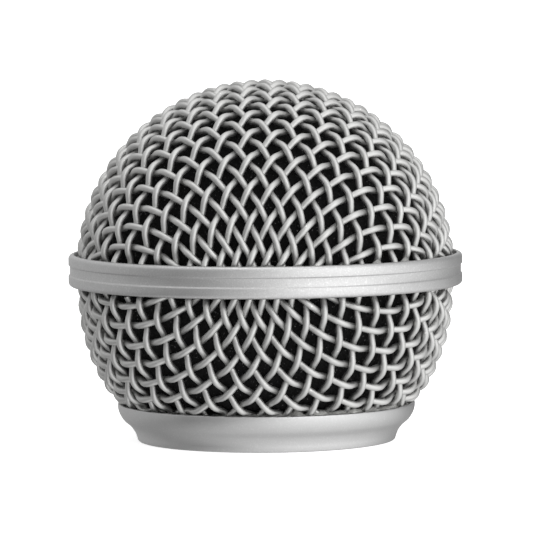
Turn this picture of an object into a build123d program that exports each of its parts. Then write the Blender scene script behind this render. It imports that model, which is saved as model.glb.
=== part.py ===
from build123d import *
import os
from math import cos, inf, radians, sqrt, tan

# Grille head of a handheld vocal microphone: a ball of crimped wire cloth in two halves, held
# together by a band at its equator and carried by a threaded collar, with a foam liner inside.
# Millimetres, +Z up. The origin is the centre of the collar's bottom face, which is what the
# head screws down on, and the +Z axis is the thread's axis.

# ---- driving dimensions ----
BALL_DIAMETER = 51.0  # across the band, the widest part of the head
BAND_MIDDLE_Z = 22.2
BAND_HEIGHT = 4.1
BAND_WALL = 0.75
BAND_EDGE_RADIUS = 0.55
BAND_GROOVE_HEIGHT = 1.4
BAND_GROOVE_DEPTH = 0.18
BAND_GROOVE_SLOPE = 0.16

WIRE_DIAMETER = 0.84
CROSSING_GAP = 0.02  # air between two wires where one passes over the other
WIRE_PITCH = 2.54  # ten wires to the inch
CLOTH_TO_BAND = 0.22  # from the dome's cloth to the band's bore
SEAM_HALF_GAP = 0.42  # half the gap between the two cloths' cut edges, behind the band

COLLAR_HEIGHT = 4.88
LIP_RADIUS = 19.28
LIP_THICKNESS = 0.42
FOOT_RADIUS = 16.7
FOOT_CHAMFER = 0.12
WAIST = (17.15, 1.58)  # radius and height where the foot's line meets the ogee's slope
WAIST_BEND = 3.0
SHOULDER = (19.09, 3.15)  # radius and height where the slope meets the lip's line
SHOULDER_BEND = 2.6
THREAD_RADIUS = 15.0  # minor radius: the wall that is left between the grooves
THREAD_DEPTH = 0.45
THREAD_PITCH = 0.9
THREAD_TURNS = 4
THREAD_CHAMFER = 0.25
THREAD_ROOT_WIDTH = 0.108
THREAD_MOUTH_WIDTH = 0.684
THREAD_CUT_IN = 0.1  # how far the cutter starts inside the bore
SLEEVE_WALL = 0.85
SLEEVE_TOP = 5.4
CHANNEL_FLOOR = 3.4
CHANNEL_FOOT_RADIUS = 17.9
WIRE_END_Z = 4.3  # where the bowl's wires stop inside the collar's channel

CLAMP_WALL = 0.6
CLAMP_HEIGHT = 3.2
CLAMP_CLEARANCE = 0.1
DOME_FOAM_THICKNESS = 4.0
SKIRT_FOAM_THICKNESS = 1.9
FOAM_CLEARANCE = 0.25
FOAM_SEAM_GAP = 0.1  # half the gap between the two foams, and the skirt's gap over the sleeve
BOND_CLEARANCE = 0.03

# ---- worked out from them ----
BAND_RADIUS = BALL_DIAMETER / 2
BAND_BORE = BAND_RADIUS - BAND_WALL
WIRE_RADIUS = WIRE_DIAMETER / 2
CRIMP = WIRE_RADIUS + CROSSING_GAP / 2  # a wire's middle is this far off the cloth's middle
CLOTH_HALF_THICKNESS = CRIMP + WIRE_RADIUS
BEND_SHARE = 0.45  # the share of each straight run that the bend at its end takes up

# The dome's cloth is a ball centred on the band. The bowl's is a slightly smaller ball, set
# lower. It was formed as a cup with a flat bottom, and the flat was then cut away at the neck,
# so its wires run as they do over a cup.
DOME_RADIUS = BAND_BORE - CLOTH_TO_BAND - CLOTH_HALF_THICKNESS
DOME_CENTRE_Z = BAND_MIDDLE_Z
BOWL_RADIUS = 23.52
BOWL_CENTRE_Z = 19.33
CUP_DEPTH = 16.9  # from the bowl's centre to the flat bottom of the cup
CUP_SHARPNESS = 6.6  # power that blends the ball into the flat: higher is a tighter corner
NECK_IN = 1.05  # how far the bowl's cloth is drawn in where it enters the collar
NECK_HEIGHT = 2.2

DOME_TURN = 43.0  # degrees that the dome's cloth is turned about +Z
BOWL_TURN = 41.98
DOME_SHIFT = (-0.024, -0.093)  # the first crossing's distance from the pole, in pitches
BOWL_SHIFT = (-0.018, -0.736)
NET_REACH = 17  # crossings counted each way from the first one
NET_RIM = -4.0  # how far past the ball's widest level the net is carried
SHORTEST_WIRE = 2.0  # a shorter offcut at the edge of the cloth would fall out


# ---- wire cloth ----
# A surface is a function of a point. It gives the point's height off the surface, which is 0
# on it, and the slope in which that height grows.
def flat(normal, level=0.0):
    return lambda point: (point.dot(normal) - level, normal)


def around(centre, distance):
    return lambda point: ((point - centre).dot(point - centre) - distance**2, (point - centre) * 2)


def cup(radius, depth):
    """A ball cut by a flat at that depth, with the corner between them rounded."""

    def surface(point):
        ball = (point.length / radius) ** CUP_SHARPNESS
        cut = (max(point.Z, 0) / depth) ** CUP_SHARPNESS
        size = (ball + cut) ** (1 / CUP_SHARPNESS)
        slope = point * (ball / point.length**2)
        if point.Z > 0:
            slope += Vector(0, 0, cut / point.Z)
        return size - 1, slope * (size / (ball + cut))

    return surface


def meeting_point(guess, *surfaces):
    """The point near the guess where three surfaces meet, or None."""
    point = guess
    for _ in range(12):
        (f, a), (g, b), (h, c) = [surface(point) for surface in surfaces]
        spread = a.dot(b.cross(c))
        if abs(spread) < 1e-9:
            return None
        step = (b.cross(c) * f + c.cross(a) * g + a.cross(b) * h) * (1 / spread)
        point = point - step
        if point.length > 100:
            return None
    return point if step.length < 1e-4 else None


def draped_net(skin, shift, depth):
    """Crossings of square wire cloth formed over a skin, as
    {(row, column): direction from the centre}.

    Wires neither stretch nor slip, so each mesh stays a rhombus with equal sides, and only the
    angle between the wires changes. Two wires through the first crossing run straight.
    """
    pitch = WIRE_PITCH
    x, y = shift[0] * pitch, shift[1] * pitch
    guess = Vector(x, y, depth)
    first = meeting_point(guess, skin, flat(Vector(1, 0, 0), x), flat(Vector(0, 1, 0), y))
    pole = first.normalized()
    along = (Vector(1, 0, 0) - pole * pole.X).normalized()
    across = pole.cross(along)
    net = {(0, 0): first}
    for direction, row in ((along, 1), (across, 0)):
        for sign in (1, -1):
            here, step = first, direction * (sign * pitch)
            for k in range(1, NET_REACH + 1):
                straight = flat(pole.cross(direction))
                there = meeting_point(here + step, straight, around(here, pitch), skin)
                if there is None or there.Z < NET_RIM:
                    break
                net[sign * k * row, sign * k * (1 - row)] = there
                here, step = there, there - here
    for si in (1, -1):
        for sj in (1, -1):
            for i in range(1, NET_REACH + 1):
                for j in range(1, NET_REACH + 1):
                    a = net.get((si * (i - 1), sj * j))
                    b = net.get((si * i, sj * (j - 1)))
                    if a is None or b is None or min(a.Z, b.Z) < NET_RIM:
                        continue
                    opposite = net[si * (i - 1), sj * (j - 1)]
                    guess = a + b - opposite
                    corner = meeting_point(guess, around(a, pitch), around(b, pitch), skin)
                    if corner is not None and (corner - opposite).length > pitch / 2:
                        net[si * i, sj * j] = corner
    return {key: point.normalized() for key, point in net.items()}


def crimp_offset():
    """How far a path's corners stand off the cloth's middle for its bends to reach CRIMP."""
    slope = radians(20)
    half_pitch = WIRE_PITCH / 2
    for _ in range(30):
        bend_cut = BEND_SHARE * WIRE_PITCH * tan(slope / 2) / cos(slope)
        slope += 0.6 * ((CRIMP + bend_cut) / half_pitch - tan(slope))
    return half_pitch * tan(slope)


def neck(point):
    """Draws a point of the bowl in towards the axis as it comes down to the collar."""
    depth = min(max((WIRE_END_Z + NECK_HEIGHT - point.Z) / NECK_HEIGHT, 0), 1)
    outward = Vector(point.X, point.Y, 0).normalized()
    return point - outward * NECK_IN * depth**2


def wire_corners(net, family, line, radius, centre_z, turn, up, offset):
    """Corners of one wire's zigzag path, in the order of its crossings."""
    corners = []
    for step in range(-NET_REACH, NET_REACH + 1):
        direction = net.get((step, line) if family == "warp" else (line, step))
        if direction is None:
            if corners and step > 0:
                break
            corners = []
            continue
        over = ((step + line) % 2 == 1) == (family == "warp")
        if up < 0:
            over = not over
        reach = radius + (offset if over else -offset)
        point = (direction * reach).rotate(Axis.Z, turn)
        point = Vector(point.X, point.Y, centre_z + up * point.Z)
        corners.append(neck(point) if up < 0 else point)
    return corners


def bend_radii(corners):
    radii = []
    for a, b, c in zip(corners, corners[1:], corners[2:]):
        half_turn = radians((b - a).get_angle(c - b)) / 2
        shorter = min((b - a).length, (c - b).length)
        radii.append(BEND_SHARE * shorter / tan(half_turn))
    return radii


def wires_along(corners, low, high):
    """The crimped wires of one path: its bends are rounded, then it is cut at both levels."""
    with BuildLine() as path:
        FilletPolyline(*corners, radius=bend_radii(corners))
        split(bisect_by=Plane.XY.offset(low), keep=Keep.TOP)
        split(bisect_by=Plane.XY.offset(high), keep=Keep.BOTTOM)
    pieces = []
    for route in path.wires():
        if route.length < SHORTEST_WIRE or not low < (route @ 0.5).Z < high:
            continue
        with BuildPart() as piece:
            with BuildSketch(Plane(origin=route @ 0, z_dir=route % 0)):
                Circle(WIRE_RADIUS)
            sweep(path=route)
        pieces.append(piece.part)
    return pieces


def wire_family(net, family, radius, centre_z, turn, up, offset, low, high):
    """Every wire of one direction of the cloth, as separate solids."""
    pieces = []
    for line in range(-NET_REACH, NET_REACH + 1):
        corners = wire_corners(net, family, line, radius, centre_z, turn, up, offset)
        if any(low < corner.Z < high for corner in corners):
            pieces += wires_along(corners, low, high)
    return pieces


os.makedirs("parts", exist_ok=True)

DOME_TOP = DOME_CENTRE_Z + DOME_RADIUS + CLOTH_HALF_THICKNESS
dome_net = draped_net(cup(DOME_RADIUS, inf), DOME_SHIFT, DOME_RADIUS)
dome_shape = (DOME_RADIUS, DOME_CENTRE_Z, DOME_TURN, 1, crimp_offset())
dome_levels = (BAND_MIDDLE_Z + SEAM_HALF_GAP, DOME_TOP)

with BuildPart() as dome_warp_wires:
    add(wire_family(dome_net, "warp", *dome_shape, *dome_levels), clean=False)
dome_warp_wires.part.label = "dome_warp_wires"
export_step(dome_warp_wires.part, "parts/dome_warp_wires.step")

with BuildPart() as dome_weft_wires:
    add(wire_family(dome_net, "weft", *dome_shape, *dome_levels), clean=False)
dome_weft_wires.part.label = "dome_weft_wires"
export_step(dome_weft_wires.part, "parts/dome_weft_wires.step")

bowl_net = draped_net(cup(BOWL_RADIUS, CUP_DEPTH), BOWL_SHIFT, CUP_DEPTH)
bowl_shape = (BOWL_RADIUS, BOWL_CENTRE_Z, BOWL_TURN, -1, crimp_offset())
bowl_levels = (WIRE_END_Z, BAND_MIDDLE_Z - SEAM_HALF_GAP)

with BuildPart() as bowl_warp_wires:
    add(wire_family(bowl_net, "warp", *bowl_shape, *bowl_levels), clean=False)
bowl_warp_wires.part.label = "bowl_warp_wires"
export_step(bowl_warp_wires.part, "parts/bowl_warp_wires.step")

with BuildPart() as bowl_weft_wires:
    add(wire_family(bowl_net, "weft", *bowl_shape, *bowl_levels), clean=False)
bowl_weft_wires.part.label = "bowl_weft_wires"
export_step(bowl_weft_wires.part, "parts/bowl_weft_wires.step")


# ---- band: a rolled strip with a shallow groove round its middle ----
with BuildPart() as centre_band:
    with BuildSketch(Plane.XZ) as band_section:
        with Locations((BAND_BORE + BAND_WALL / 2, BAND_MIDDLE_Z)):
            Rectangle(BAND_WALL, BAND_HEIGHT)
        fillet(band_section.vertices().group_by(Axis.X)[-1], BAND_EDGE_RADIUS)
        groove_bottom = BAND_RADIUS - BAND_GROOVE_DEPTH
        floor_half = BAND_GROOVE_HEIGHT / 2 - BAND_GROOVE_SLOPE
        mouth_half = BAND_GROOVE_HEIGHT / 2
        with BuildLine():
            Polyline(
                (BAND_RADIUS, BAND_MIDDLE_Z - mouth_half),
                (groove_bottom, BAND_MIDDLE_Z - floor_half),
                (groove_bottom, BAND_MIDDLE_Z + floor_half),
                (BAND_RADIUS, BAND_MIDDLE_Z + mouth_half),
                close=True,
            )
        make_face(mode=Mode.SUBTRACT)
    revolve(axis=Axis.Z)
centre_band.part.label = "centre_band"
export_step(centre_band.part, "parts/centre_band.step")


def ring(inner, outer, low, high):
    """A plain ring about the head's axis."""
    with BuildPart() as piece:
        with BuildSketch(Plane.XY.offset(low)):
            Circle(outer)
            Circle(inner, mode=Mode.SUBTRACT)
        extrude(amount=high - low)
    return piece


# ---- clamp ring: backs both cut edges of the cloth, behind the band ----
bowl_inside = BOWL_RADIUS - CLOTH_HALF_THICKNESS
CLAMP_RADIUS = sqrt(bowl_inside**2 - (BAND_MIDDLE_Z - BOWL_CENTRE_Z) ** 2) - CLAMP_CLEARANCE
CLAMP_BORE = CLAMP_RADIUS - CLAMP_WALL
clamp_low = BAND_MIDDLE_Z - CLAMP_HEIGHT / 2
clamp_ring = ring(CLAMP_BORE, CLAMP_RADIUS, clamp_low, clamp_low + CLAMP_HEIGHT)
clamp_ring.part.label = "clamp_ring"
export_step(clamp_ring.part, "parts/clamp_ring.step")

# ---- bond: a film of resin between the band and each cloth ----
dome_outside = DOME_RADIUS + CLOTH_HALF_THICKNESS
bowl_outside = BOWL_RADIUS + CLOTH_HALF_THICKNESS
film_outer = BAND_BORE - BOND_CLEARANCE
film_low = BAND_MIDDLE_Z + SEAM_HALF_GAP
band_top = BAND_MIDDLE_Z + BAND_HEIGHT / 2
band_foot = BAND_MIDDLE_Z - BAND_HEIGHT / 2

band_bond_upper = ring(dome_outside + BOND_CLEARANCE, film_outer, film_low, band_top)
band_bond_upper.part.label = "band_bond_upper"
export_step(band_bond_upper.part, "parts/band_bond_upper.step")

film_high = BAND_MIDDLE_Z - SEAM_HALF_GAP
band_bond_lower = ring(bowl_outside + BOND_CLEARANCE, film_outer, band_foot, film_high)
band_bond_lower.part.label = "band_bond_lower"
export_step(band_bond_lower.part, "parts/band_bond_lower.step")


# ---- collar: ogee outside, threaded sleeve inside, and a channel that takes the bowl's wires ----
LIP_BORE = LIP_RADIUS - LIP_THICKNESS
SLEEVE_RADIUS = THREAD_RADIUS + SLEEVE_WALL

with BuildPart() as base_collar:
    with BuildSketch(Plane.XZ):
        with BuildLine():
            ogee = FilletPolyline(
                (FOOT_RADIUS, FOOT_CHAMFER),
                WAIST,
                SHOULDER,
                (LIP_RADIUS, COLLAR_HEIGHT - LIP_THICKNESS / 2),
                radius=[WAIST_BEND, SHOULDER_BEND],
            )
            lip = ThreePointArc(
                ogee @ 1,
                (LIP_RADIUS - LIP_THICKNESS / 2, COLLAR_HEIGHT),
                (LIP_BORE, COLLAR_HEIGHT - LIP_THICKNESS / 2),
            )
            Polyline(
                lip @ 1,
                (LIP_BORE, WIRE_END_Z),
                (CHANNEL_FOOT_RADIUS, CHANNEL_FLOOR),
                (SLEEVE_RADIUS, CHANNEL_FLOOR),
                (SLEEVE_RADIUS, SLEEVE_TOP),
                (THREAD_RADIUS + THREAD_CHAMFER, SLEEVE_TOP),
                (THREAD_RADIUS, SLEEVE_TOP - THREAD_CHAMFER),
                (THREAD_RADIUS, THREAD_CHAMFER),
                (THREAD_RADIUS + THREAD_CHAMFER, 0),
                (FOOT_RADIUS - FOOT_CHAMFER, 0),
                (FOOT_RADIUS, FOOT_CHAMFER),
            )
        make_face()
    revolve(axis=Axis.Z)
    thread_height = THREAD_TURNS * THREAD_PITCH
    thread_start = (SLEEVE_TOP - thread_height) / 2
    with BuildLine() as thread_path:
        Helix(THREAD_PITCH, thread_height, THREAD_RADIUS, center=(0, 0, thread_start))
    thread_plane = Plane(
        origin=thread_path.line @ 0, x_dir=(1, 0, 0), z_dir=thread_path.line % 0
    )
    with BuildSketch(thread_plane):
        with BuildLine():
            Polyline(
                (-THREAD_CUT_IN, THREAD_MOUTH_WIDTH / 2),
                (THREAD_DEPTH, THREAD_ROOT_WIDTH / 2),
                (THREAD_DEPTH, -THREAD_ROOT_WIDTH / 2),
                (-THREAD_CUT_IN, -THREAD_MOUTH_WIDTH / 2),
                close=True,
            )
        make_face()
    sweep(path=thread_path, is_frenet=True, mode=Mode.SUBTRACT)
base_collar.part.label = "base_collar"
export_step(base_collar.part, "parts/base_collar.step")

# ---- bond that fills the collar's channel under the wire ends ----
bond_low = CHANNEL_FLOOR + BOND_CLEARANCE
bond_high = WIRE_END_Z - WIRE_RADIUS
bond_inner = SLEEVE_RADIUS + BOND_CLEARANCE
bond_foot = CHANNEL_FOOT_RADIUS - 2 * BOND_CLEARANCE
channel_lean = (LIP_BORE - CHANNEL_FOOT_RADIUS) / (WIRE_END_Z - CHANNEL_FLOOR)
bond_rim = bond_foot + channel_lean * (bond_high - CHANNEL_FLOOR)
with BuildPart() as collar_bond:
    with BuildSketch(Plane.XZ):
        with BuildLine():
            Polyline(
                (bond_inner, bond_low),
                (bond_foot, bond_low),
                (bond_rim, bond_high),
                (bond_inner, bond_high),
                close=True,
            )
        make_face()
    revolve(axis=Axis.Z)
collar_bond.part.label = "collar_bond"
export_step(collar_bond.part, "parts/collar_bond.step")


# ---- foam liner: a cup in the dome and a skirt in the bowl, stepped round the clamp ring ----
def foam_shell(outer, thickness, centre_z, low, high):
    """A spherical shell of foam between two levels, clear of the clamp ring and the neck."""
    with BuildPart() as piece:
        with Locations((0, 0, centre_z)):
            Sphere(outer)
            Sphere(outer - thickness, mode=Mode.SUBTRACT)
        with BuildSketch(Plane.XY.offset(low)):
            Circle(BAND_RADIUS)
        extrude(amount=high - low, mode=Mode.INTERSECT)
        with BuildSketch(Plane.XY.offset(clamp_low - FOAM_CLEARANCE)):
            Circle(BAND_RADIUS)
            Circle(CLAMP_BORE - FOAM_CLEARANCE, mode=Mode.SUBTRACT)
        extrude(amount=CLAMP_HEIGHT + 2 * FOAM_CLEARANCE, mode=Mode.SUBTRACT)
        with BuildSketch(Plane.XY):
            Circle(THREAD_RADIUS + THREAD_CHAMFER)
        extrude(amount=BOWL_CENTRE_Z, mode=Mode.SUBTRACT)
    return piece


dome_inside = DOME_RADIUS - CLOTH_HALF_THICKNESS
foam_dome = foam_shell(
    dome_inside - FOAM_CLEARANCE,
    DOME_FOAM_THICKNESS,
    DOME_CENTRE_Z,
    BAND_MIDDLE_Z + FOAM_SEAM_GAP,
    DOME_TOP,
)
foam_dome.part.label = "foam_dome"
export_step(foam_dome.part, "parts/foam_dome.step")

foam_skirt = foam_shell(
    bowl_inside - FOAM_CLEARANCE,
    SKIRT_FOAM_THICKNESS,
    BOWL_CENTRE_Z,
    SLEEVE_TOP + FOAM_SEAM_GAP,
    BAND_MIDDLE_Z - FOAM_SEAM_GAP,
)
foam_skirt.part.label = "foam_skirt"
export_step(foam_skirt.part, "parts/foam_skirt.step")
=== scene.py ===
# %% [markdown]
# # A wire-ball grille head
#
# The head of a handheld vocal microphone is a ball of woven steel wire in two halves. A rolled
# band grips both halves at the equator, and a turned collar at the bottom carries the thread
# that screws onto the handle. Black foam lies behind the wires, where it stops the wind.
#
# The engineering model is loaded first and stays as it is. Everything below is placed from the
# boxes of its parts, so each visible piece lies exactly where the measured one does.

# %% Load the engineering model
from math import cos, hypot, inf, pi, radians, sin

import bmesh
import bpy
from mathutils import Matrix, Vector, noise


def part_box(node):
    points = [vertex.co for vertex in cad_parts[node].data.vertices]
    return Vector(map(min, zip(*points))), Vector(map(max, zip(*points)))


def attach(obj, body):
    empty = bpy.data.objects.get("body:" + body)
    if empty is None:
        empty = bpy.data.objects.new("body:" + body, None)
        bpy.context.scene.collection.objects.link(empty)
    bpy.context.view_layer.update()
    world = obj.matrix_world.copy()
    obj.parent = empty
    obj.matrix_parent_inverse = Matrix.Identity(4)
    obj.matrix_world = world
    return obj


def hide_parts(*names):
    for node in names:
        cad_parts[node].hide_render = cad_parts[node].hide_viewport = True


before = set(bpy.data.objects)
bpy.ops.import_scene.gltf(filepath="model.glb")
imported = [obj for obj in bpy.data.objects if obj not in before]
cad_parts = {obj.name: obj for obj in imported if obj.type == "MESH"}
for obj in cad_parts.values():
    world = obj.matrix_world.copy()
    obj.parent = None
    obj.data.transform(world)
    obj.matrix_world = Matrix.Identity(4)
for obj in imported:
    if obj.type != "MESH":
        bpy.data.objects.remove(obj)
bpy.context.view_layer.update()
MM = 0.001
print("nodes:", sorted(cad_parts))

# %% [markdown]
# ## Sizes, read from the model
#
# The band's box gives the ball's radius and its middle level. The dome cloth's box gives the
# gap at the seam. Only sizes that no box can tell, such as the thickness of the wire,
# are written down here.

# %% Sizes
band_low, band_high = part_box("centre_band")
_, collar_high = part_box("base_collar")
dome_low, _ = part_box("dome_warp_wires")
clamp_low, clamp_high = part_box("clamp_ring")

BAND_RADIUS = band_high.x
BAND_MIDDLE = (band_low.z + band_high.z) / 2
BAND_WALL = 0.75 * MM
BAND_BORE = BAND_RADIUS - BAND_WALL
LIP_RADIUS = collar_high.x
LIP_TOP = 4.88 * MM
WIRE_RADIUS = 0.42 * MM
CRIMP = 0.43 * MM  # how far a wire's middle stands off the cloth's middle
CLOTH_HALF = CRIMP + WIRE_RADIUS
SEAM_HALF_GAP = dome_low.z - BAND_MIDDLE
WIRE_END = 4.3 * MM  # level at which the bowl's wires stop, inside the collar
print("band radius", round(BAND_RADIUS / MM, 2), "mm, middle at", round(BAND_MIDDLE / MM, 2))

# %% [markdown]
# ## How flat cloth becomes a ball
#
# Wire cloth is woven flat and then pressed into shape. The wires can't stretch and they don't
# slip where they cross, so every square mesh keeps four equal sides and only leans over into a
# rhombus. Laying out the crossings one mesh at a time, each one step from its two neighbours
# and on the pressed surface, gives the swirl of narrow and wide diamonds that a pressed ball
# shows. The dome is pressed as a plain ball. The bowl is pressed as a cup with a flat bottom,
# and the flat is then cut away at the neck, so its wires run differently from the dome's.
#
# A surface here is a function of a point. It gives the point's height off the surface and the
# slope in which that height grows, and three surfaces meet where all three heights are zero.

# %% Crossings of a pressed wire cloth
WIRE_PITCH = 2.54 * MM
NET_REACH = 17  # crossings counted each way from the first
NET_RIM = -4 * MM
CUP_CORNER = 6.6  # power that blends the ball into the flat


def flat(normal, level=0.0):
    return lambda point: (point.dot(normal) - level, normal)


def around(centre, distance):
    return lambda point: ((point - centre).length_squared - distance**2, 2 * (point - centre))


def cup(radius, depth):
    """A ball cut by a flat at that depth, with the corner between them rounded."""

    def surface(point):
        ball = (point.length / radius) ** CUP_CORNER
        cut = (max(point.z, 0) / depth) ** CUP_CORNER
        size = (ball + cut) ** (1 / CUP_CORNER)
        slope = point * (ball / point.length_squared)
        if point.z > 0:
            slope = slope + Vector((0, 0, cut / point.z))
        return size - 1, slope * (size / (ball + cut))

    return surface


def meeting_point(guess, *surfaces):
    """The point near the guess where three surfaces meet, or None."""
    point = guess
    for _ in range(12):
        (f, a), (g, b), (h, c) = [surface(point) for surface in surfaces]
        spread = a.dot(b.cross(c))
        if abs(spread) < 1e-9:
            return None
        step = (b.cross(c) * f + c.cross(a) * g + a.cross(b) * h) / spread
        point = point - step
    return point if step.length < 1e-4 * MM else None


def draped_net(skin, shift, depth):
    """Crossings of square cloth pressed over a skin, as {(row, column): direction}."""
    x, y = shift[0] * WIRE_PITCH, shift[1] * WIRE_PITCH
    sides = flat(Vector((1, 0, 0)), x), flat(Vector((0, 1, 0)), y)
    first = meeting_point(Vector((x, y, depth)), skin, *sides)
    pole = first.normalized()
    along = (Vector((1, 0, 0)) - pole * pole.x).normalized()
    net = {(0, 0): first}
    for direction, row in ((along, 1), (pole.cross(along), 0)):
        straight = flat(pole.cross(direction))
        for sign in (1, -1):
            here, step = first, direction * sign * WIRE_PITCH
            for k in range(1, NET_REACH + 1):
                there = meeting_point(here + step, straight, around(here, WIRE_PITCH), skin)
                if there is None or there.z < NET_RIM:
                    break
                net[sign * k * row, sign * k * (1 - row)] = there
                here, step = there, there - here
    for si in (1, -1):
        for sj in (1, -1):
            for i in range(1, NET_REACH + 1):
                for j in range(1, NET_REACH + 1):
                    a = net.get((si * (i - 1), sj * j))
                    b = net.get((si * i, sj * (j - 1)))
                    if a is None or b is None or min(a.z, b.z) < NET_RIM:
                        continue
                    opposite = net[si * (i - 1), sj * (j - 1)]
                    corner = meeting_point(
                        a + b - opposite, around(a, WIRE_PITCH), around(b, WIRE_PITCH), skin
                    )
                    if corner is not None and (corner - opposite).length > WIRE_PITCH / 2:
                        net[si * i, sj * j] = corner
    return {key: point.normalized() for key, point in net.items()}


# %% [markdown]
# ## One crimped wire
#
# In plain weave each wire passes over one neighbour and under the next. Its middle line is a
# soft zigzag. A curve that has its control points at the zigzag's corners swings half as far as
# they do, so the corners stand off by twice the crimp. Each bend is worked out as a parabola
# between the middles of two sides, which is what such a curve is made of.

# %% Wire routes
BEND_STEPS = 6  # straight pieces in each bend
RUFFLE = 0.05 * MM  # how far worn cloth strays from a perfect net
RUFFLE_RATE = 5  # higher gives shorter waves of straying
noise.seed_set(1)  # so that the straying is the same in every run
NECK_HEIGHT = 2.2 * MM  # the stretch above the wires' ends that is drawn in


def drawn_in(point, neck_in):
    """A point of the cloth, drawn in towards the axis where it enters the collar."""
    depth = min(max((WIRE_END + NECK_HEIGHT - point.z) / NECK_HEIGHT, 0), 1)
    return point - Vector((point.x, point.y, 0)).normalized() * neck_in * depth**2


def zigzag(net, family, line, cloth):
    """Corners of one wire's zigzag, in the order of its crossings."""
    corners = []
    for step in range(-NET_REACH, NET_REACH + 1):
        direction = net.get((step, line) if family == "warp" else (line, step))
        if direction is None:
            if corners and step > 0:
                break
            corners = []
            continue
        over = ((step + line) % 2 == 1) == (family == "warp")
        if cloth["up"] < 0:
            over = not over
        reach = cloth["radius"] + (2 * CRIMP if over else -2 * CRIMP)
        point = Matrix.Rotation(radians(cloth["turn"]), 3, "Z") @ (direction * reach)
        point.z = cloth["centre"] + cloth["up"] * point.z
        stray = RUFFLE * noise.noise_vector(RUFFLE_RATE * direction)
        corners.append(drawn_in(point, cloth["neck_in"]) + stray)
    return corners


def bend_points(corners):
    """Points along the curve whose control points are the corners."""
    points = []
    for a, b, c in zip(corners, corners[1:], corners[2:]):
        start, end = (a + b) / 2, (b + c) / 2
        for k in range(BEND_STEPS):
            t = k / BEND_STEPS
            points.append(start * (1 - t) ** 2 + b * 2 * t * (1 - t) + end * t * t)
    return points


def cut_between(points, low, high):
    """The stretches of a route that lie between two levels, cut off exactly at them."""
    stretches, stretch = [], []
    for here, there in zip(points, points[1:]):
        if low < here.z < high:
            stretch.append(here)
        for level in (low, high):
            if (here.z - level) * (there.z - level) < 0:
                stretch.append(here.lerp(there, (level - here.z) / (there.z - here.z)))
                if len(stretch) > 1 and not low < there.z < high:
                    stretches.append(stretch)
                    stretch = []
    if len(stretch) > 1:
        stretches.append(stretch)
    return [s for s in stretches if len(s) > BEND_STEPS]


# %% [markdown]
# ## Weaving the four sets of wires
#
# A round wire is a curve with a bevel, which Blender turns into a clean tube. Each direction of
# a cloth is one piece of many separate wires. After the tubes are made into a mesh, every wire
# is given its own tone in an attribute, because no two wires take the plating quite alike.

# %% Wires as bevelled curves
TUBE_ROUNDNESS = 4
TONE_PATCH = 0.7 * MM  # wires that start further apart than this differ in tone


def tube_mesh(name, routes, radius):
    """A mesh of round closed tubes along the routes."""
    curve = bpy.data.curves.new(name + "_route", "CURVE")
    curve.dimensions = "3D"
    curve.bevel_depth = radius
    curve.bevel_resolution = TUBE_ROUNDNESS
    curve.use_fill_caps = True
    for route in routes:
        spline = curve.splines.new("POLY")
        spline.points.add(len(route) - 1)
        for point, place in zip(spline.points, route):
            point.co = (*place, 1)
        spline.use_smooth = True
    holder = bpy.data.objects.new(name + "_route", curve)
    bpy.context.scene.collection.objects.link(holder)
    evaluated = holder.evaluated_get(bpy.context.evaluated_depsgraph_get())
    mesh = bpy.data.meshes.new_from_object(evaluated)
    mesh.name = name
    bpy.data.objects.remove(holder)
    return mesh


def add_piece(name, mesh, slot, *nodes):
    """Puts a finished mesh into the scene, in place of the CAD nodes it stands for."""
    piece = bpy.data.objects.new(name, mesh)
    bpy.context.scene.collection.objects.link(piece)
    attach(piece, "root")
    if nodes:
        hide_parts(*nodes)
    print(name, len(mesh.polygons), "faces")
    return piece


def tint_each_part(mesh, name):
    """Gives every loose part of a mesh its own number from 0 to 1, as a point attribute."""
    bm = bmesh.new()
    bm.from_mesh(mesh)
    layer = bm.verts.layers.float.new(name)
    seen = set()
    for seed in bm.verts:
        if seed in seen:
            continue
        tone = 0.5 + 0.5 * noise.noise(seed.co / TONE_PATCH)
        reach = [seed]
        seen.add(seed)
        while reach:
            vert = reach.pop()
            vert[layer] = tone
            for edge in vert.link_edges:
                other = edge.other_vert(vert)
                if other not in seen:
                    seen.add(other)
                    reach.append(other)
    bm.to_mesh(mesh)
    bm.free()


def weave(name, net, family, cloth):
    """One direction of a cloth: every wire of it, cut at the cloth's two edges."""
    routes = []
    for line in range(-NET_REACH, NET_REACH + 1):
        points = bend_points(zigzag(net, family, line, cloth))
        routes += cut_between(points, cloth["low"], cloth["high"])
    mesh = tube_mesh(name, routes, WIRE_RADIUS)
    tint_each_part(mesh, "wire_tone")
    print(name, len(routes), "wires")
    return add_piece(name, mesh, "wire_nickel", name.replace("woven_", ""))


# %% The dome's cloth
CLOTH_TO_BAND = 0.22 * MM
DOME = {
    "radius": BAND_BORE - CLOTH_TO_BAND - CLOTH_HALF,
    "centre": BAND_MIDDLE,
    "turn": 43.0,
    "up": 1,
    "low": BAND_MIDDLE + SEAM_HALF_GAP,
    "high": inf,
    "neck_in": 0.0,
}
DOME_SHIFT = (-0.024, -0.093)  # the first crossing's distance from the pole, in pitches
dome_net = draped_net(cup(DOME["radius"], inf), DOME_SHIFT, DOME["radius"])
dome_wires = [weave("woven_dome_" + f + "_wires", dome_net, f, DOME) for f in ("warp", "weft")]

# %% The bowl's cloth
BOWL = {
    "radius": 23.52 * MM,
    "centre": 19.33 * MM,
    "turn": 41.98,
    "up": -1,
    "low": WIRE_END,
    "high": BAND_MIDDLE - SEAM_HALF_GAP,
    "neck_in": 1.05 * MM,
}
BOWL_SHIFT = (-0.018, -0.736)
CUP_DEPTH = 16.9 * MM
bowl_net = draped_net(cup(BOWL["radius"], CUP_DEPTH), BOWL_SHIFT, CUP_DEPTH)
bowl_wires = [weave("woven_bowl_" + f + "_wires", bowl_net, f, BOWL) for f in ("warp", "weft")]

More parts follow.
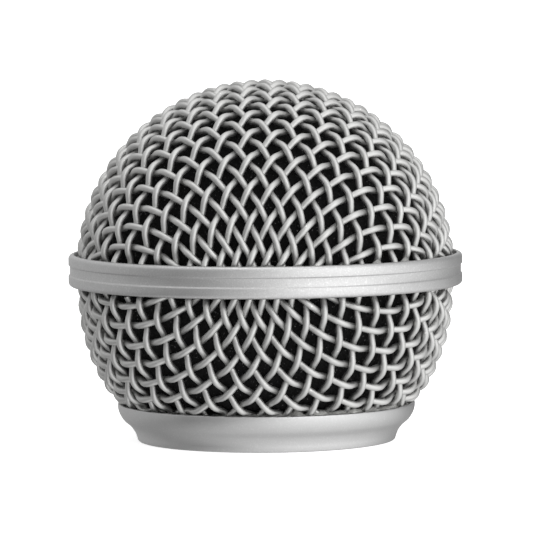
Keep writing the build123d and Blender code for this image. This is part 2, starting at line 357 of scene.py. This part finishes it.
# %% [markdown]
# ## Turned parts
#
# The band and the collar are turned or rolled round one axis, so each is a short outline that
# is spun a full turn. The outline has only its real corners. Bevels then round them, small on
# an edge that is just broken, and large where the outline flows in an ogee.

# %% Spinning an outline
TURN_STEPS = 256


def spun(outline, steps=TURN_STEPS):
    """A closed ring: the outline, as (radius, height) corners, spun a full turn about +Z."""
    bm = bmesh.new()
    verts = [bm.verts.new((r, 0, z)) for r, z in outline]
    edges = [bm.edges.new((a, b)) for a, b in zip(verts, verts[1:] + verts[:1])]
    bmesh.ops.spin(
        bm,
        geom=verts + edges,
        cent=(0, 0, 0),
        axis=(0, 0, 1),
        angle=2 * pi,
        steps=steps,
        use_merge=True,
    )
    bmesh.ops.remove_doubles(bm, verts=bm.verts, dist=1e-7)
    bmesh.ops.recalc_face_normals(bm, faces=bm.faces)
    return bm


def round_ring(bm, corner, width, segments):
    """Rounds the ring edge that passes through the (radius, height) corner."""
    close = 1e-6

    def is_on_ring(vert):
        reach = hypot(vert.co.x, vert.co.y)
        return abs(reach - corner[0]) < close and abs(vert.co.z - corner[1]) < close

    ring = [edge for edge in bm.edges if all(is_on_ring(vert) for vert in edge.verts)]
    bmesh.ops.bevel(
        bm,
        geom=ring,
        offset=width,
        segments=segments,
        profile=0.5,
        affect="EDGES",
        material=-1,
        clamp_overlap=True,
    )


def finished(name, bm, smooth=True):
    mesh = bpy.data.meshes.new(name)
    bm.to_mesh(mesh)
    bm.free()
    for face in mesh.polygons:
        face.use_smooth = smooth
    return mesh


# %% The centre band
def make_band():
    outer, inner = BAND_RADIUS, BAND_BORE
    low, high = band_low.z, band_high.z
    groove = outer - 0.18 * MM
    mouth, floor = 0.70 * MM, 0.54 * MM  # half the groove's height at its mouth and its floor
    outline = [
        (inner, low),
        (outer, low),
        (outer, BAND_MIDDLE - mouth),
        (groove, BAND_MIDDLE - floor),
        (groove, BAND_MIDDLE + floor),
        (outer, BAND_MIDDLE + mouth),
        (outer, high),
        (inner, high),
    ]
    bm = spun(outline)
    round_ring(bm, (outer, low), 0.55 * MM, 6)
    round_ring(bm, (outer, high), 0.55 * MM, 6)
    for z in (BAND_MIDDLE - mouth, BAND_MIDDLE + mouth):
        round_ring(bm, (outer, z), 0.06 * MM, 3)
    for z in (BAND_MIDDLE - floor, BAND_MIDDLE + floor):
        round_ring(bm, (groove, z), 0.05 * MM, 2)
    for z in (low, high):
        round_ring(bm, (inner, z), 0.08 * MM, 2)
    return finished("rolled_band", bm)


band = add_piece("rolled_band", make_band(), "blasted_nickel", "centre_band")

# %% [markdown]
# ## The collar and its thread
#
# Outside, the collar swells from a narrow foot to a thin lip that hides the cut ends of the
# wires. Inside is a plain sleeve with a thread. The thread is a small wedge spun round the axis
# while it climbs, which is how a lathe cuts it too.

# %% The collar
SLEEVE_BORE = 15.0 * MM  # crest of the thread
THREAD_DEPTH = 0.45 * MM
THREAD_PITCH = 0.9 * MM
THREAD_TURNS = 4


def make_collar():
    top = collar_high.z
    foot, chamfer = 16.7 * MM, 0.12 * MM
    waist = (17.15 * MM, 1.58 * MM)
    shoulder = (19.09 * MM, 3.15 * MM)
    lip_wall = 0.42 * MM
    lip_bore = LIP_RADIUS - lip_wall
    sleeve = SLEEVE_BORE + 0.85 * MM
    sleeve_chamfer = 0.25 * MM
    lead = 0.75 * MM  # plain bore before the thread starts
    root = SLEEVE_BORE + THREAD_DEPTH
    channel_floor, channel_foot = 3.4 * MM, 17.9 * MM
    outline = [
        (SLEEVE_BORE + sleeve_chamfer, 0),
        (foot - chamfer, 0),
        (foot, chamfer),
        waist,
        shoulder,
        (LIP_RADIUS, LIP_TOP - lip_wall),
        (LIP_RADIUS, LIP_TOP),
        (lip_bore, LIP_TOP),
        (lip_bore, WIRE_END),
        (channel_foot, channel_floor),
        (sleeve, channel_floor),
        (sleeve, top),
        (SLEEVE_BORE + sleeve_chamfer, top),
        (SLEEVE_BORE, top - sleeve_chamfer),
        (SLEEVE_BORE, top - lead),
        (root, top - lead - THREAD_DEPTH),
        (root, lead + THREAD_DEPTH),
        (SLEEVE_BORE, lead),
        (SLEEVE_BORE, sleeve_chamfer),
    ]
    bm = spun(outline)
    round_ring(bm, waist, 0.92 * MM, 10)
    round_ring(bm, shoulder, 1.05 * MM, 10)
    round_ring(bm, (LIP_RADIUS, LIP_TOP - lip_wall), 0.2 * MM, 3)
    round_ring(bm, (LIP_RADIUS, LIP_TOP), 0.2 * MM, 5)
    round_ring(bm, (lip_bore, LIP_TOP), 0.14 * MM, 4)
    return finished("turned_collar", bm)


collar = add_piece("turned_collar", make_collar(), "blasted_nickel", "base_collar")


def make_thread():
    """The ridge of the thread, whose foot is sunk a little into the sleeve's wall."""
    steps_per_turn = 96
    turns = THREAD_TURNS - 0.6
    sunk = 0.05 * MM
    root, crest = SLEEVE_BORE + THREAD_DEPTH + sunk, SLEEVE_BORE
    half_root, half_crest = 0.34 * THREAD_PITCH, 0.05 * MM
    start = (collar_high.z - turns * THREAD_PITCH) / 2
    wedge = [
        (root, 0, start - half_root),
        (crest, 0, start - half_crest),
        (crest, 0, start + half_crest),
        (root, 0, start + half_root),
    ]
    bm = bmesh.new()
    section = bm.faces.new([bm.verts.new(corner) for corner in wedge])
    bmesh.ops.spin(
        bm,
        geom=[section],
        cent=(0, 0, 0),
        axis=(0, 0, 1),
        dvec=Vector((0, 0, THREAD_PITCH / steps_per_turn)),
        angle=2 * pi * turns,
        steps=int(steps_per_turn * turns),
        use_duplicate=False,
    )
    bmesh.ops.recalc_face_normals(bm, faces=bm.faces)
    return finished("collar_thread", bm, smooth=False)


thread = add_piece("collar_thread", make_thread(), "blasted_nickel")

# %% [markdown]
# ## Foam
#
# The liner is open-cell foam about 4 mm thick in the dome and 2 mm in the bowl. It is made as
# part of a ball with real walls. Its face is dimpled by small cells, and it is squeezed in
# where the ring behind the band passes round it.

# %% Foam shells
CELL_SIZE = 0.55 * MM
CELL_DEPTH = 0.12 * MM
CELL_STEEPNESS = 1.6  # higher makes a cell's dimple narrower
RING_WALL = 0.85 * MM  # the ring behind the band, with the air inside it
RING_AIR = 0.2 * MM  # above and below the ring


def foam_mesh(name, radius, thickness, centre, low, high, neck):
    """A dimpled part-sphere of foam with real walls, between two levels."""
    bm = bmesh.new()
    bmesh.ops.create_icosphere(
        bm, subdivisions=7, radius=radius, matrix=Matrix.Translation((0, 0, centre))
    )
    for level, up in ((low, -1), (high, 1)):
        bmesh.ops.bisect_plane(
            bm,
            geom=bm.verts[:] + bm.edges[:] + bm.faces[:],
            plane_co=(0, 0, level),
            plane_no=(0, 0, up),
            clear_outer=True,
        )
    ring_inside = clamp_high.x - RING_WALL
    middle = Vector((0, 0, centre))
    for vert in bm.verts:
        nearest = noise.voronoi(vert.co / CELL_SIZE)[0][0]
        dimple = CELL_DEPTH * (1 - min(nearest * CELL_STEEPNESS, 1))
        vert.co += (middle - vert.co).normalized() * dimple
        reach = hypot(vert.co.x, vert.co.y)
        near_ring = clamp_low.z - RING_AIR < vert.co.z < clamp_high.z + RING_AIR
        if near_ring and reach > ring_inside:
            vert.co.x *= ring_inside / reach
            vert.co.y *= ring_inside / reach
    bmesh.ops.solidify(bm, geom=bm.faces[:], thickness=thickness)
    for vert in bm.verts:
        reach = hypot(vert.co.x, vert.co.y)
        if vert.co.z < centre and reach < neck:
            vert.co.x *= neck / reach
            vert.co.y *= neck / reach
    bmesh.ops.recalc_face_normals(bm, faces=bm.faces)
    return finished(name, bm)


cup_low, cup_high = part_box("foam_dome")
cup_mesh = foam_mesh(
    "foam_cup",
    radius=cup_high.x,
    thickness=4.0 * MM,
    centre=BAND_MIDDLE,
    low=cup_low.z,
    high=cup_high.z + MM,
    neck=0,
)
foam_cup = add_piece("foam_cup", cup_mesh, "foam", "foam_dome")

FOAM_CLEARANCE = 0.25 * MM
liner_low, liner_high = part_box("foam_skirt")
liner_mesh = foam_mesh(
    "foam_liner",
    radius=BOWL["radius"] - CLOTH_HALF - FOAM_CLEARANCE,
    thickness=1.9 * MM,
    centre=BOWL["centre"],
    low=liner_low.z,
    high=liner_high.z,
    neck=15.3 * MM,
)
foam_liner = add_piece("foam_liner", liner_mesh, "foam", "foam_skirt")

# %% [markdown]
# ## Bonding resin
#
# Beads of clear-grey resin hold the wires in the collar and at the band. They were run in by
# hand, so they are lumpy: thick between some wires, thin between others, and thickest on one
# side of the collar, where the resin was poured. Each bead is a ring whose height and reach
# wander with smooth noise.


# %% Lumpy beads
# The side where the resin was poured, which also faces the light window on the right front; the
# resin's colour is painted lighter toward it
POUR_AND_LIT_SIDE = Vector((0.6, -0.8, 0))
BEAD_STEPS = 720
WAVE_SIZE = 1.5 * MM
DROP_SIZE = 2.1 * MM
DROP_PLACE = Vector((7, 3, 0))  # moves the drops' noise away from the waves'
DROP_SPARSENESS = 0.28


def bead_mesh(name, radius, level, width, height, lean, waves, drops):
    """A ring of resin with a wandering top and a few drops; lean tips its top outwards."""
    bm = spun(
        [
            (radius - width / 2, level),
            (radius + width / 2, level),
            (radius + width / 2 + lean, level + height * 0.6),
            (radius + lean, level + height),
            (radius - width / 2 + lean * 0.5, level + height * 0.6),
        ],
        steps=BEAD_STEPS,
    )
    bmesh.ops.subdivide_edges(bm, edges=bm.edges[:], cuts=1, use_grid_fill=True, smooth=0.6)
    for vert in bm.verts:
        share = min(max((vert.co.z - level) / height, 0), 1)
        wave = noise.noise(vert.co / WAVE_SIZE)
        drop = max(noise.noise(vert.co / DROP_SIZE + DROP_PLACE) - DROP_SPARSENESS, 0) * 2.5
        outward = Vector((vert.co.x, vert.co.y, 0)).normalized()
        side = max(outward.dot(POUR_AND_LIT_SIDE), 0) ** 2
        drop = drops * (drop * (0.25 + side) + 0.3 * side)
        vert.co.z += share * (waves * wave + drop)
        vert.co += outward * share * (0.25 * waves * wave + 0.3 * drop)
    bmesh.ops.recalc_face_normals(bm, faces=bm.faces)
    return finished(name, bm)


def add_bead(name, node, **measures):
    """One bead, with its measures in millimetres."""
    mesh = bead_mesh(name, **{measure: size * MM for measure, size in measures.items()})
    return add_piece(name, mesh, "resin", node)


beads = [
    add_bead(
        "resin_in_collar",
        "collar_bond",
        radius=17.35,
        level=3.45,
        width=1.6,
        height=1.4,
        lean=0.5,
        waves=0.35,
        drops=1.5,
    ),
    add_bead(
        "resin_over_band",
        "band_bond_upper",
        radius=24.35,
        level=22.7,
        width=0.5,
        height=1.05,
        lean=0.0,
        waves=0.12,
        drops=0.9,
    ),
    add_bead(
        "resin_under_band",
        "band_bond_lower",
        radius=24.2,
        level=20.3,
        width=0.5,
        height=1.2,
        lean=0.0,
        waves=0.12,
        drops=0.2,
    ),
]

# %% [markdown]
# ## Finishes
#
# Shader sums are easier to read as Python than as a web of nodes, so a small class wraps a
# socket and turns +, - and * into Math nodes. Everything else is added by one method.


# %% A little shader language
class Flow:
    """A value that flows through a material's nodes, for use in Python sums."""

    def __init__(self, finish, socket):
        self.finish, self.socket = finish, socket

    def sum(self, operation, a, b):
        return self.finish.node("ShaderNodeMath", [a, b], operation=operation)

    def __add__(self, other):
        return self.sum("ADD", self, other)

    def __radd__(self, other):
        return self.sum("ADD", other, self)

    def __sub__(self, other):
        return self.sum("SUBTRACT", self, other)

    def __mul__(self, other):
        return self.sum("MULTIPLY", self, other)

    def __rmul__(self, other):
        return self.sum("MULTIPLY", other, self)

    def above(self, level, softness):
        """0 below the level and 1 above it, over a soft step."""
        return self.finish.node(
            "ShaderNodeMapRange",
            {"Value": self, "From Min": level - softness, "From Max": level + softness},
            interpolation_type="SMOOTHSTEP",
        )


class Finish:
    """One material, built a node at a time."""

    def __init__(self, name, **constants):
        self.material = bpy.data.materials.new(name)
        self.material.use_nodes = True
        self.tree = self.material.node_tree
        self.shader = self.tree.nodes["Principled BSDF"]
        for socket, value in constants.items():
            self.shader.inputs[socket.replace("_", " ")].default_value = value
        self.place = self.node("ShaderNodeTexCoord", out="Object")

    def node(self, kind, inputs=(), out=0, **settings):
        """Adds a node, gives it its settings and then its inputs, and returns one output."""
        node = self.tree.nodes.new(kind)
        for setting, value in settings.items():
            setattr(node, setting, value)
        pairs = inputs.items() if isinstance(inputs, dict) else enumerate(inputs)
        for key, value in pairs:
            self.link(node.inputs[key], value)
        return Flow(self, node.outputs[out])

    def link(self, socket, value):
        if isinstance(value, Flow):
            self.tree.links.new(value.socket, socket)
        else:
            socket.default_value = value

    def grain(self, size, detail=2.0, roughness=0.5):
        """Noise from 0 to 1 with blotches of that size."""
        return self.node(
            "ShaderNodeTexNoise",
            {"Vector": self.place, "Scale": 1 / size, "Detail": detail, "Roughness": roughness},
        )

    def blend(self, share, first, second):
        """A colour between two: first where share is 0, second where it is 1."""
        mix = self.tree.nodes.new("ShaderNodeMix")
        mix.data_type = "RGBA"
        self.link(mix.inputs["Factor"], share)
        for socket, colour in ((mix.inputs[6], first), (mix.inputs[7], second)):
            self.link(socket, colour if isinstance(colour, Flow) else (*colour, 1.0))
        return Flow(self, mix.outputs[2])

    def bump(self, height, strength, distance):
        """A normal that follows the height; distance is how deep its full range goes."""
        inputs = {"Height": height, "Strength": strength, "Distance": distance}
        return self.node("ShaderNodeBump", inputs, out="Normal")

    def set(self, **sockets):
        for name, value in sockets.items():
            self.link(self.shader.inputs[name.replace("_", " ")], value)


# %% Satin nickel on the wires
def wire_nickel():
    f = Finish("satin_wire_nickel", Metallic=1.0)
    tone = f.node("ShaderNodeAttribute", out="Fac", attribute_name="wire_tone")
    cloud = f.grain(2.2 * MM, 3.0)
    skin = f.grain(0.16 * MM, 2.0, 0.6)
    scuff = f.grain(0.45 * MM, 1.0).above(0.78, 0.03)
    shade = tone * 0.5 + cloud * 0.35 + skin * 0.15
    plating = f.blend(shade, (0.46, 0.46, 0.455), (0.60, 0.60, 0.59))
    f.set(
        Base_Color=f.blend(scuff, plating, (0.80, 0.80, 0.78)),
        Roughness=0.42 + 0.14 * cloud + 0.06 * skin,
        Normal=f.bump(skin, 0.12, 0.05 * MM),
    )
    return f.material


# %% Blasted nickel on the band and the collar
def blasted_nickel():
    f = Finish("blasted_nickel", Metallic=1.0)
    grit = f.grain(0.16 * MM, 2.0, 0.7)
    sparkle = f.grain(0.21 * MM, 1.0).above(0.62, 0.05)
    cloud = f.grain(3.5 * MM, 3.0)
    height = f.node("ShaderNodeSeparateXYZ", [f.place], out="Z")
    coarse = 0.4 + 0.6 * height.above(12 * MM, 2 * MM)  # the collar is blasted finer
    shade = 0.2 + cloud * 0.35 + coarse * ((grit - 0.5) * 1.2 + sparkle * 0.4)
    f.set(
        Base_Color=f.blend(shade, (0.46, 0.46, 0.46), (0.60, 0.60, 0.60)),
        Roughness=0.40 + 0.08 * cloud - 0.10 * sparkle,
        Normal=f.bump(grit, 0.35, 0.06 * MM),
    )
    return f.material


# %% Plain steel strip, for the ring behind the band
def plain_steel():
    f = Finish("plain_steel_strip", Metallic=1.0)
    cloud = f.grain(1.5 * MM, 3.0)
    f.set(
        Base_Color=f.blend(cloud, (0.30, 0.30, 0.30), (0.46, 0.46, 0.46)),
        Roughness=0.35 + 0.2 * cloud,
        Normal=f.bump(cloud, 0.1, 0.05 * MM),
    )
    return f.material


# %% Black foam with a little dust
def black_foam():
    f = Finish("black_foam", Metallic=0.0)
    cells = f.node(
        "ShaderNodeTexVoronoi", {"Vector": f.place, "Scale": 1 / (0.5 * MM)}, out="Distance"
    )
    fluff = f.grain(0.3 * MM, 3.0, 0.7)
    dust = f.grain(0.22 * MM, 1.0).above(0.71, 0.02) * f.grain(1.9 * MM, 1.0).above(0.5, 0.1)
    dark = f.blend(fluff, (0.002, 0.002, 0.002), (0.012, 0.012, 0.012))
    f.set(
        Base_Color=f.blend(dust, dark, (0.16, 0.16, 0.16)),
        Roughness=0.9 + 0.1 * fluff,
        Normal=f.bump(cells, 0.6, 0.3 * MM),
    )
    f.shader.inputs["Specular IOR Level"].default_value = 0.15
    return f.material


# %% Grey resin
def grey_resin():
    f = Finish("grey_resin", Metallic=0.0)
    cloud = f.grain(0.9 * MM, 3.0)
    fine = f.grain(0.25 * MM, 2.0)
    aim = f.node("ShaderNodeVectorMath", [f.place], operation="NORMALIZE", out="Vector")
    toward_pour_and_light = f.node(
        "ShaderNodeVectorMath", [aim, POUR_AND_LIT_SIDE], operation="DOT_PRODUCT", out="Value"
    )
    # Toward the pour side the resin is painted lighter grey: partly its thicker bead, partly a
    # painted highlight for the window light on the right front
    thick_and_lit = toward_pour_and_light.above(0.75, 0.22)
    f.set(
        Base_Color=f.blend(
            cloud * (0.2 + 1.1 * thick_and_lit), (0.02, 0.02, 0.02), (0.55, 0.55, 0.53)
        ),
        Roughness=0.08 + 0.16 * fine,
        Normal=f.bump(cloud + fine * 0.25, 0.4, 0.25 * MM),
    )
    f.shader.inputs["Coat Weight"].default_value = 0.6
    f.shader.inputs["Coat Roughness"].default_value = 0.08
    return f.material


# %% Giving each piece its finish
def dress(piece, material):
    piece.data.materials.clear()
    piece.data.materials.append(material)


nickel_wire, nickel_turned = wire_nickel(), blasted_nickel()
foam_black, resin_grey = black_foam(), grey_resin()
for piece in dome_wires + bowl_wires:
    dress(piece, nickel_wire)
for piece in (band, collar, thread):
    dress(piece, nickel_turned)
for piece in (foam_cup, foam_liner):
    dress(piece, foam_black)
for piece in beads:
    dress(piece, resin_grey)
dress(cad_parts["clamp_ring"], plain_steel())

# %% [markdown]
# ## Floor, light and camera
#
# A pale floor runs far behind the head, so it fills the whole view. The light is that of a
# small white tent: soft all round, with a large bright window high on the right and a dimmer
# left side, which is what shades a round metal part.


# %% The floor
def make_floor():
    bm = bmesh.new()
    just_under = Matrix.Translation((0, 0, -0.02 * MM))
    bmesh.ops.create_grid(bm, x_segments=1, y_segments=1, size=8.0, matrix=just_under)
    floor = bpy.data.objects.new("studio_floor", finished("studio_floor", bm, smooth=False))
    bpy.context.scene.collection.objects.link(floor)
    f = Finish("floor_paper", Metallic=0.0, Roughness=0.9, Base_Color=(0.93, 0.93, 0.93, 1.0))
    f.shader.inputs["Emission Color"].default_value = (1, 1, 1, 1)
    f.shader.inputs["Emission Strength"].default_value = 0.6
    dress(floor, f.material)
    floor.visible_glossy = False


make_floor()


# %% The light tent
class Sky(Finish):
    """The world's own light, built with the same nodes as a finish."""

    def __init__(self, name):
        world = bpy.data.worlds.new(name)
        bpy.context.scene.world = world
        world.use_nodes = True
        self.tree = world.node_tree
        self.place = self.node("ShaderNodeTexCoord", out="Generated")

    def glow(self, azimuth, elevation, level, softness):
        """1 towards a part of the sky and 0 away from it."""
        rise = radians(elevation)
        towards = aside(azimuth, cos(rise), sin(rise))
        facing = self.node(
            "ShaderNodeVectorMath", [self.place, towards], operation="DOT_PRODUCT", out="Value"
        )
        return facing.above(level, softness)


def aside(azimuth, distance, height):
    """A point round the head; azimuth 0 is on the camera's side and 90 on its right."""
    a = radians(azimuth)
    return Vector((distance * sin(a), -distance * cos(a), height))


def softbox(name, place, size, brightness):
    """A square window of light that faces the middle of the head. Its power follows its area."""
    aim = Vector((0, 0, BAND_MIDDLE))
    data = bpy.data.lights.new(name, "AREA")
    data.shape = "SQUARE"
    data.size = size
    data.energy = brightness * pi * size**2
    light = bpy.data.objects.new(name, data)
    turn = (aim - place).to_track_quat("-Z", "Y").to_matrix().to_4x4()
    light.matrix_world = Matrix.Translation(place) @ turn
    bpy.context.scene.collection.objects.link(light)


tent = Sky("light_tent")
right_wall = tent.glow(azimuth=48, elevation=12, level=0.375, softness=0.625)
left_wall = tent.glow(azimuth=-125, elevation=25, level=0.475, softness=0.275)
roof = tent.glow(azimuth=0, elevation=90, level=0.5, softness=0.45)
table = tent.glow(azimuth=60, elevation=-55, level=0.45, softness=0.45)
tent.link(
    tent.tree.nodes["Background"].inputs["Color"],
    0.25 + 0.7 * right_wall + 0.38 * left_wall + 0.3 * roof + 0.75 * table,
)
softbox("window_right", aside(40, distance=0.50, height=0.20), size=0.55, brightness=0.9)
softbox("window_above", aside(20, distance=0.10, height=0.80), size=0.75, brightness=0.8)


# %% The camera
def make_camera():
    """A long lens a little above the head's middle, as a catalogue view has."""
    distance, rise, roll = 0.647, radians(4.24), radians(0.41)
    target = Vector((0.143 * MM, 0, BAND_MIDDLE + 0.22 * MM))
    data = bpy.data.cameras.new("catalogue_camera")
    data.sensor_width = 36.0
    data.lens = 337.4
    data.clip_start = 0.01
    camera = bpy.data.objects.new("catalogue_camera", data)
    place = target + distance * Vector((0, -cos(rise), sin(rise)))
    look = (target - place).to_track_quat("-Z", "Y").to_matrix().to_4x4()
    camera.matrix_world = Matrix.Translation(place) @ look @ Matrix.Rotation(-roll, 4, "Z")
    bpy.context.scene.collection.objects.link(camera)
    bpy.context.scene.camera = camera


make_camera()
bpy.context.scene.view_settings.view_transform = "Standard"
